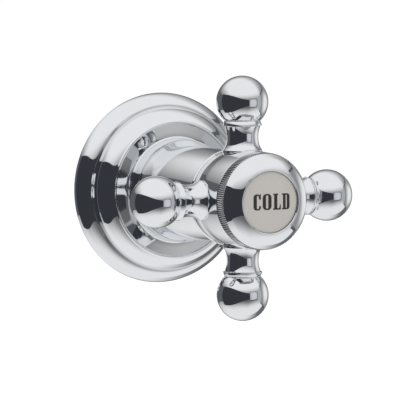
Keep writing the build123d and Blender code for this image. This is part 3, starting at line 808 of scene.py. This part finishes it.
def chrome_plate():
    """Polished chromium plate: a bluish mirror with a faint haze and a slow waviness."""
    made, tree, here = new_material("chrome_plate_polished")
    haze = add(tree, "TexNoise", {"Vector": here, **HAZE})
    rough = add(tree, "MapRange", {
        0: haze.outputs[0], 1: HAZE_RANGE[0], 2: HAZE_RANGE[1],
        3: CHROME_ROUGHNESS[0], 4: CHROME_ROUGHNESS[1]})
    wave = add(tree, "TexNoise", {"Vector": here, "Scale": per(7.0), "Detail": 1.0})
    bump = add(tree, "Bump", {
        "Strength": 1.0, "Distance": WAVE_HEIGHT * MM, "Height": wave.outputs[0]})
    return finished(made, tree, {
        "Base Color": linear(CHROME), "Metallic": 1.0, "Roughness": rough.outputs[0],
        "Normal": bump.outputs[0]})


def milled_chrome():
    """Chromium plate on milled teeth: bright on the crests and rougher down in the valleys, whose
    colour is darkened there as painted shade. How far a point is from the valve axis tells crest from
    valley, and its reach tells the milled edge from the bezel in front of it."""
    made, tree, here = new_material("chrome_plate_milled_painted_shade")
    place = add(tree, "SeparateXYZ", {0: here})
    flat = add(tree, "CombineXYZ", {0: place.outputs[0], 1: 0.0, 2: place.outputs[2]})
    radius = add(tree, "VectorMath", {0: flat.outputs[0]}, operation="LENGTH")
    crest = add(tree, "MapRange", {
        0: radius.outputs[1], 1: (KNURL_RADIUS - VALLEY_SHARE * KNURL_DEPTH) * MM,
        2: (KNURL_RADIUS - CREST_SHARE * KNURL_DEPTH) * MM, 3: 0.0, 4: 1.0})
    behind = add(tree, "MapRange", {
        0: place.outputs[1], 1: -knurl_front * MM, 2: -knurl_corner[1] * MM, 3: 0.0, 4: 1.0})
    # Painted shade: the milled edge's colour darkens from the crest colour to the valley colour as
    # the teeth go deeper.
    tint = add(tree, "Mix", {
        0: crest.outputs[0], 6: linear(KNURL_VALLEY_PAINTED_SHADE), 7: linear(KNURL_CREST)}, data_type="RGBA")
    colour = add(tree, "Mix", {
        0: behind.outputs[0], 6: linear(CHROME), 7: tint.outputs[2]}, data_type="RGBA")
    haze = add(tree, "TexNoise", {"Vector": here, **HAZE})
    dull = add(tree, "MapRange", {
        0: crest.outputs[0], 1: 0.0, 2: 1.0, 3: KNURL_ROUGHNESS[0], 4: KNURL_ROUGHNESS[1]})
    rough = add(tree, "Mix", {0: behind.outputs[0], 2: BEZEL_ROUGHNESS, 3: dull.outputs[0]})
    marks = add(tree, "Bump", {
        "Strength": 1.0, "Distance": MARK_HEIGHT * MM, "Height": haze.outputs[0]})
    return finished(made, tree, {
        "Base Color": colour.outputs[2], "Metallic": 1.0, "Roughness": rough.outputs[0],
        "Normal": marks.outputs[0]})


chrome = chrome_plate()
for piece in chrome_pieces:
    piece.data.materials.append(chrome)
index_ring.data.materials.append(milled_chrome())
print("Chrome is on", len(chrome_pieces) + 1, "pieces")

# %% [markdown]
# The disc's body is opaque cream porcelain, and the glaze over it is clear glass. A coat on the
# shader is that glass. Firing leaves the colour slightly uneven, and the glaze lies in very low
# ripples. The letters are enamel fired on to the glaze, nearly black with a warm cast.

# %% Porcelain and enamel
PORCELAIN = ("#C8C4BE", "#BDB9B2")
RIPPLE_HEIGHT = 0.004
ENAMEL = "#2A2321"
ENAMEL_ROUGHNESS = (0.25, 0.45)


def porcelain():
    """Glazed porcelain: a warm pale body, slightly clouded, under a coat of clear glaze."""
    made, tree, here = new_material("porcelain_glazed")
    cloud = add(tree, "TexNoise", {"Vector": here, "Scale": per(7.0), "Detail": 3.0})
    tint = add(tree, "Mix", {
        0: cloud.outputs[0], 6: linear(PORCELAIN[0]), 7: linear(PORCELAIN[1])}, data_type="RGBA")
    ripple = add(tree, "TexNoise", {"Vector": here, "Scale": per(2.5), "Detail": 2.0})
    bump = add(tree, "Bump", {
        "Strength": 1.0, "Distance": RIPPLE_HEIGHT * MM, "Height": ripple.outputs[0]})
    return finished(made, tree, {
        "Base Color": tint.outputs[2], "Roughness": 0.4, "IOR": 1.5, "Coat Weight": 1.0,
        "Coat Roughness": 0.05, "Normal": bump.outputs[0], "Coat Normal": bump.outputs[0]})


def letter_enamel():
    """Fired enamel: nearly black and warm, with an uneven gloss where it sank into the glaze."""
    made, tree, here = new_material("enamel_fired_black")
    patch = add(tree, "TexNoise", {"Vector": here, "Scale": per(0.8), "Detail": 2.0})
    rough = add(tree, "MapRange", {
        0: patch.outputs[0], 1: NOISE_LOW, 2: NOISE_HIGH,
        3: ENAMEL_ROUGHNESS[0], 4: ENAMEL_ROUGHNESS[1]})
    return finished(made, tree, {
        "Base Color": linear(ENAMEL), "Roughness": rough.outputs[0], "IOR": 1.5})


index_disc.data.materials.append(porcelain())
index_letters.data.materials.append(letter_enamel())
print("Porcelain and enamel are on the index")

# %% [markdown]
# ## The metal behind the wall
# The body is cast in sand and only its joints are machined, so it is dull and grainy. The
# headwork and the spindle are turned from bar, and the tool leaves a fine thread of rings round
# them. The rings are bands across the reach, at a real pitch, and the sand's grain is a noise.

# %% Brass and steel
CAST_BRASS = ("#EFCF8A", "#CFA35C")
CAST_ROUGHNESS = (0.38, 0.58)
GRAIN_HEIGHT = 0.06
RING_HEIGHT = 0.01
TURNED_ROUGHNESS = (0.18, 0.34)


def cast_brass():
    """Sand-cast brass: dull yellow with brown patches, and a grain of a third of a millimetre."""
    made, tree, here = new_material("brass_sand_cast")
    patch = add(tree, "TexNoise", {
        "Vector": here, "Scale": per(6.0), "Detail": 5.0, "Roughness": 0.65})
    tint = add(tree, "Mix", {
        0: patch.outputs[0], 6: linear(CAST_BRASS[0]), 7: linear(CAST_BRASS[1])}, data_type="RGBA")
    grain = add(tree, "TexNoise", {"Vector": here, "Scale": per(0.35), "Detail": 4.0})
    bump = add(tree, "Bump", {
        "Strength": 0.6, "Distance": GRAIN_HEIGHT * MM, "Height": grain.outputs[0]})
    rough = add(tree, "MapRange", {
        0: grain.outputs[0], 1: NOISE_LOW, 2: NOISE_HIGH,
        3: CAST_ROUGHNESS[0], 4: CAST_ROUGHNESS[1]})
    return finished(made, tree, {
        "Base Color": tint.outputs[2], "Metallic": 1.0, "Roughness": rough.outputs[0],
        "Normal": bump.outputs[0]})


def turned_metal(name, light, dark, pitch):
    """Metal fresh from the lathe: rings across the reach at the tool's pitch, over clean metal."""
    made, tree, here = new_material(name)
    rings = add(tree, "TexWave", {
        "Vector": here, "Scale": per(pitch) / (2 * np.pi), "Distortion": 0.6}, bands_direction="Y")
    stain = add(tree, "TexNoise", {"Vector": here, "Scale": per(4.0), "Detail": 3.0})
    tint = add(tree, "Mix", {
        0: stain.outputs[0], 6: linear(light), 7: linear(dark)}, data_type="RGBA")
    bump = add(tree, "Bump", {
        "Strength": 0.5, "Distance": RING_HEIGHT * MM, "Height": rings.outputs[1]})
    rough = add(tree, "MapRange", {
        0: stain.outputs[0], 1: NOISE_LOW, 2: NOISE_HIGH,
        3: TURNED_ROUGHNESS[0], 4: TURNED_ROUGHNESS[1]})
    return finished(made, tree, {
        "Base Color": tint.outputs[2], "Metallic": 1.0, "Roughness": rough.outputs[0],
        "Normal": bump.outputs[0]})


metals = {
    "brass_cast": cast_brass(),
    "brass_turned": turned_metal("brass_turned", "#F3D48E", "#DFB76C", 0.3),
    "steel_turned": turned_metal("steel_stainless_turned", "#C9C8C5", "#A9A8A5", 0.25),
}
print("Made", len(metals), "metals")

# %% [markdown]
# ## Seals and plastics
# Rubber, foam, fibre and plastics are not metal, so their shader keeps a low reflection and a
# rough surface. What differs is the fine structure: moulded rubber carries a faint bloom, foam
# is a crowd of cut cells, vulcanised fibre shows pressed paper, and a lapped ceramic is smooth.

# %% Materials that aren't metal
def moulded(name, light, dark, patch_size, bump_size, bump_height, rough, pattern="TexNoise"):
    """A non-metal: two close shades in patches of one size, and a surface pattern of another size
    and of a height, all in millimetres. Its roughness keeps between two values."""
    made, tree, here = new_material(name)
    patch = add(tree, "TexNoise", {"Vector": here, "Scale": per(patch_size), "Detail": 3.0})
    tint = add(tree, "Mix", {
        0: patch.outputs[0], 6: linear(light), 7: linear(dark)}, data_type="RGBA")
    fine = add(tree, pattern, {"Vector": here, "Scale": per(bump_size)})
    bump = add(tree, "Bump", {
        "Strength": 0.8, "Distance": bump_height * MM, "Height": fine.outputs[0]})
    gloss = add(tree, "MapRange", {
        0: patch.outputs[0], 1: NOISE_LOW, 2: NOISE_HIGH, 3: rough[0], 4: rough[1]})
    return finished(made, tree, {
        "Base Color": tint.outputs[2], "Roughness": gloss.outputs[0], "Normal": bump.outputs[0]})


softs = {
    "rubber": moulded("rubber_moulded", "#2B2B2C", "#1A1A1B", 2.0, 0.25, 0.01, (0.45, 0.62)),
    "foam": moulded("foam_closed_cell", "#3C3D3F", "#2A2B2D", 3.0, 0.45, 0.12, (0.8, 0.95),
                    "TexVoronoi"),
    "fibre": moulded("fibre_vulcanised", "#8C3A2C", "#6E281F", 1.2, 0.3, 0.03, (0.6, 0.8)),
    "ptfe": moulded("ptfe_skived", "#EDEDE9", "#E2E2DD", 2.0, 0.4, 0.008, (0.35, 0.5)),
    "acetal": moulded("acetal_moulded", "#E9E8E2", "#DCDBD3", 3.0, 0.5, 0.006, (0.3, 0.42)),
    "alumina": moulded("alumina_lapped", "#F0EEE6", "#E4E1D6", 2.5, 0.2, 0.002, (0.08, 0.16)),
}
print("Made", len(softs), "other materials")

# %% [markdown]
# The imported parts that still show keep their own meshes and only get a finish. The record says
# which material each part is made of, and one table says which finish that means, apart from the
# valve body, which is cast and not turned.

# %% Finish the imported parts
FINISHES = {
    "brass": metals["brass_turned"],
    "steel": metals["steel_turned"],
    "rubber": softs["rubber"],
    "foam": softs["foam"],
    "fibre": softs["fibre"],
    "ptfe": softs["ptfe"],
    "acetal": softs["acetal"],
    "alumina": softs["alumina"],
}
finished_count = 0
for part in frame["record"]["subparts"]:
    packed = frame["nodes"][part["node"]]
    if packed.hide_render:
        continue
    finish = FINISHES[part["material_slot"]]
    if part["node"] == "valve_body":
        finish = metals["brass_cast"]
    packed.data.materials.clear()
    packed.data.materials.append(finish)
    finished_count += 1
print("Finished", finished_count, "packed parts")

# %% [markdown]
# ## The camera
# The photograph was taken from the valve's left and a little above, with a long lens, so that the
# balls at both ends of the handle look nearly the same size. The camera's three axes come from its
# azimuth and elevation, and a slight roll levels it as the photographer held it.

# %% Camera
AZIMUTH = -27.6
ELEVATION = 4.25
ROLL = -0.19
DISTANCE = 1.0
RIGHTWARD = 0.01225
UPWARD = -0.00383
LENS = 294.6

az, el, roll_angle = np.radians([AZIMUTH, ELEVATION, ROLL])
back = np.array([np.sin(az) * np.cos(el), -np.cos(az) * np.cos(el), np.sin(el)])
level_right = np.array([np.cos(az), np.sin(az), 0])
level_up = np.cross(back, level_right)
right = level_right * np.cos(roll_angle) + level_up * np.sin(roll_angle)
up = np.cross(back, right)
place = back * DISTANCE + right * RIGHTWARD + up * UPWARD

camera_data = bpy.data.cameras.new("camera")
camera_data.lens = LENS
camera_data.clip_start = 0.05
camera = bpy.data.objects.new("camera", camera_data)
bpy.context.scene.collection.objects.link(camera)
axes = Matrix(np.stack([right, up, back], 1).tolist())
camera.matrix_world = Matrix.Translation(place.tolist()) @ axes.to_4x4()
bpy.context.scene.camera = camera
bpy.context.scene.view_settings.view_transform = "Standard"
print("The camera stands at", place.round(3), "metres")

# %% [markdown]
# ## The studio
# Chrome has no look of its own: it shows the room. A product photographer builds that room: a
# bright tent, a black card that curves along one side, a dark one at the far end, a lit panel near
# the camera with a dark edge, and a soft box with a bright middle on the other side. The cards are
# upright sheets that follow a line on the floor plan, in metres. Only reflections see them, so they
# cast no light and hide nothing.

# %% Cards that only reflections see
CARD_ROWS = 3
GLOW_CORE = 0.3


def upright(name, plan, low, high, material):
    """An upright sheet: each point of a line on the plan, at even heights from low to high."""
    plan = np.array(plan, float)
    height = np.tile(np.linspace(low, high, CARD_ROWS), (len(plan), 1))
    grid = np.concatenate([np.repeat(plan[:, None], CARD_ROWS, 1), height[..., None]], 2)
    index = np.arange(len(plan) * CARD_ROWS).reshape(-1, CARD_ROWS)
    faces = np.stack([index[:-1, :-1], index[1:, :-1], index[1:, 1:], index[:-1, 1:]], -1)
    mesh = bpy.data.meshes.new(name)
    mesh.from_pydata(grid.reshape(-1, 3), [], faces.reshape(-1, 4).tolist())
    mesh.materials.append(material)
    made = bpy.data.objects.new(name, mesh)
    bpy.context.scene.collection.objects.link(made)
    made.visible_camera = made.visible_diffuse = made.visible_shadow = False
    made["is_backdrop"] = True
    return made


def glow(name, code, centre=(0, 0, 0), reach=1.0, bright=1.0, dim=1.0):
    """A sheet that gives light of one colour, bright at a centre and dim a reach away from it."""
    made, tree, here = new_material(name)
    offset = add(tree, "VectorMath", {0: here, 1: centre}, operation="SUBTRACT")
    length = add(tree, "VectorMath", {0: offset.outputs[0]}, operation="LENGTH")
    level = add(tree, "MapRange", {
        0: length.outputs[1], 1: reach * GLOW_CORE, 2: reach, 3: bright, 4: dim},
        interpolation_type="SMOOTHSTEP")
    light = add(tree, "Emission", {"Color": linear(code), "Strength": level.outputs[0]})
    add(tree, "OutputMaterial", {"Surface": light.outputs[0]})
    made.cycles.emission_sampling = "NONE"
    return made


black = glow("card_black", "#37393F")
dark = glow("card_dark", "#5E6064")
edge = glow("card_edge", "#55585D")
grey = glow("card_grey", "#B2B5B9")
panel = glow("panel_lit", "#F4F7FB", centre=(0.35, -0.8, -0.03), reach=0.42, bright=0.72, dim=0.36)
soft_box = glow("soft_box", "#FFFFFF", centre=(0.6, 0.0, -0.02), reach=0.33, bright=0.9, dim=0.3)
black_curve = arc_from((-0.6, -0.4), (0.1, -1.75), heading=(0, -1), steps=24)
black_plan = np.concatenate([[(-0.6, 0.47)], black_curve])
far_plan = arc_from((-0.62, 0.47), (0.05, 0.95), heading=(0, 1), steps=16)

cards = [
    upright("black_card", black_plan, -0.47, 0.32, black),
    upright("far_card", far_plan, -0.33, 0.33, dark),
    upright("front_panel", [(0.07, -0.8), (0.62, -0.8)], -0.25, 0.19, panel),
    upright("front_edge", [(0.07, -0.83), (0.69, -0.83)], -0.31, 0.225, edge),
    upright("corner_card", [(0.71, -0.83), (0.62, -0.36)], -0.33, 0.28, grey),
    upright("soft_box", [(0.6, -0.36), (0.6, 0.62)], -0.31, 0.28, soft_box),
    upright("box_edge", [(0.62, -0.36), (0.62, 0.62)], -0.36, 0.33, dark),
]
print("The studio has", len(cards), "cards")

# %% [markdown]
# The floor is a plain pale sheet below the valve. To the camera it is white and keeps the valve's
# shadow. Reflections don't see it, because the photographer's table ended just under the valve and
# the chrome shows the tent below it.

# %% Floor
FLOOR_HEIGHT = -0.12
FLOOR_HALF = 30.0
FLOOR_LIFT = 0.44


def pale_floor():
    """A pale matt floor. The camera's rays get a little light added, so that it comes out white."""
    made, tree, here = new_material("floor_pale")
    path = add(tree, "LightPath", {})
    grain = add(tree, "TexNoise", {"Vector": here, "Scale": per(40.0), "Detail": 2.0})
    tint = add(tree, "Mix", {
        0: grain.outputs[0], 6: linear("#E4E5E7"), 7: linear("#E8E8E9")}, data_type="RGBA")
    matt = add(tree, "BsdfDiffuse", {"Color": tint.outputs[2]})
    lift = add(tree, "Emission", {"Color": linear("#FFFFFF"), "Strength": FLOOR_LIFT})
    both = add(tree, "AddShader", {0: matt.outputs[0], 1: lift.outputs[0]})
    seen = add(tree, "MixShader", {
        0: path.outputs["Is Camera Ray"], 1: matt.outputs[0], 2: both.outputs[0]})
    add(tree, "OutputMaterial", {"Surface": seen.outputs[0]})
    made.cycles.emission_sampling = "NONE"
    return made


corners = [(x * FLOOR_HALF, y * FLOOR_HALF, FLOOR_HEIGHT)
           for x, y in ((-1, -1), (1, -1), (1, 1), (-1, 1))]
floor_mesh = bpy.data.meshes.new("floor")
floor_mesh.from_pydata(corners, [], [(0, 1, 2, 3)])
floor_mesh.materials.append(pale_floor())
floor = bpy.data.objects.new("floor", floor_mesh)
bpy.context.scene.collection.objects.link(floor)
floor.visible_glossy = False
floor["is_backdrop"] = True
print("The floor is", round(-FLOOR_HEIGHT / MM), "mm below the valve axis")

# %% [markdown]
# The world is the tent. To the camera it is plain white. To matt surfaces it is an even soft light
# at a plain level. To reflections it is white overhead and below and grey near the horizon, and it
# brightens faster above than below. Behind the valve, to the right, the tent's wall is in shade up
# to its roof, and that gives the chrome its dark outlines. One soft lamp from above the camera's
# left adds a little shape and a soft shadow.

# %% The tent
# A direction has a length of one, so its height runs from -1 straight down to 1 overhead. Each rise
# is a range of heights or depths, and then the range of light. The horizon's lift is how far back a
# direction points, and how much higher the light then starts. The right's share is a range from
# front to back, and then what it adds to the depth.
WORLD_LEVEL = 0.74
HORIZON_LIFT = (0.5, 0.15)
NEAR_RISE = (0.02, 0.6, 0.15, 0.93)
FAR_RISE = (0.25, 1.0, 0.05, 0.88)
BELOW_RISE = (0.34, 0.92, 0.15, 0.9)
DARK_SIDE = (0.82, 0.57, 0.0)
DARK_EDGE = (0.35, 0.7)
RIGHT_SHARE = (-0.1, 0.1, 0.4, -0.5)
BACK_SHARE = 0.32


def tent():
    """The world's light by what asks for it: camera, reflection, or matt surface. To a reflection
    it is the brighter of two. Above, it rises with the height, and later where a direction faces
    the dark side. Below, it rises with the depth, sooner at the front right and at the back, and
    later at the back right."""
    world = bpy.data.worlds.new("tent")
    world.use_nodes = True
    tree = world.node_tree
    tree.nodes.clear()
    path = add(tree, "LightPath", {})
    here = add(tree, "TexCoord", {}).outputs["Generated"]
    along = add(tree, "SeparateXYZ", {0: here}).outputs
    lift = add(tree, "MapRange", {
        0: along[1], 1: 0.0, 2: HORIZON_LIFT[0], 3: 0.0, 4: HORIZON_LIFT[1]})
    height = add(tree, "Math", {0: along[2], 1: lift.outputs[0]}, operation="SUBTRACT")
    near = add(tree, "MapRange", {0: height.outputs[0], **dict(enumerate(NEAR_RISE, 1))},
               interpolation_type="SMOOTHSTEP")
    far = add(tree, "MapRange", {0: along[2], **dict(enumerate(FAR_RISE, 1))})
    facing = add(tree, "VectorMath", {0: here, 1: DARK_SIDE}, operation="DOT_PRODUCT")
    shade = add(tree, "MapRange", {
        0: facing.outputs[1], 1: DARK_EDGE[0], 2: DARK_EDGE[1], 3: 0.0, 4: 1.0},
        interpolation_type="SMOOTHSTEP")
    above = add(tree, "Mix", {0: shade.outputs[0], 2: near.outputs[0], 3: far.outputs[0]})
    rightward = add(tree, "Math", {0: along[0], 1: 0.0}, operation="MAXIMUM")
    backward = add(tree, "Math", {0: along[1], 1: 0.0}, operation="MAXIMUM")
    share = add(tree, "MapRange", {0: along[1], **dict(enumerate(RIGHT_SHARE, 1))})
    raised = add(tree, "Math", {0: rightward.outputs[0], 1: share.outputs[0]}, operation="MULTIPLY")
    raised = add(tree, "Math", {
        0: backward.outputs[0], 1: BACK_SHARE, 2: raised.outputs[0]}, operation="MULTIPLY_ADD")
    depth = add(tree, "Math", {0: raised.outputs[0], 1: along[2]}, operation="SUBTRACT")
    below = add(tree, "MapRange", {0: depth.outputs[0], **dict(enumerate(BELOW_RISE, 1))},
                interpolation_type="SMOOTHSTEP")
    shown = add(tree, "Math", {0: above.outputs[0], 1: below.outputs[0]}, operation="MAXIMUM")
    reflected = add(tree, "Mix", {
        0: path.outputs["Is Glossy Ray"], 2: WORLD_LEVEL, 3: shown.outputs[0]})
    strength = add(tree, "Mix", {0: path.outputs["Is Camera Ray"], 2: reflected.outputs[0], 3: 1.0})
    light = add(tree, "Background", {"Color": linear("#FDFDFE"), "Strength": strength.outputs[0]})
    add(tree, "OutputWorld", {"Surface": light.outputs[0]})
    return world


bpy.context.scene.world = tent()

# %% The lamp
LAMP_PLACE = (-0.9, -1.2, 1.5)
LAMP_SIZE = 1.2
LAMP_POWER = 14.0

lamp_data = bpy.data.lights.new("soft_lamp", "AREA")
lamp_data.shape = "DISK"
lamp_data.size = LAMP_SIZE
lamp_data.energy = LAMP_POWER
lamp = bpy.data.objects.new("soft_lamp", lamp_data)
bpy.context.scene.collection.objects.link(lamp)
lamp.location = LAMP_PLACE
lamp.rotation_euler = (-lamp.location).to_track_quat("-Z", "Y").to_euler()
lamp.visible_glossy = False
print("The lamp is", round(lamp.location.length, 2), "metres away")

# %% [markdown]
# ## Check and finish
# The looks should leave the size as it was, so the box after them is compared with the box before.

# %% Compare both boxes
new_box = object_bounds()
moved = np.abs(np.array(new_box) - np.array(cad_box)).max() / MM
print("The box moved by at most", round(moved, 3), "mm")
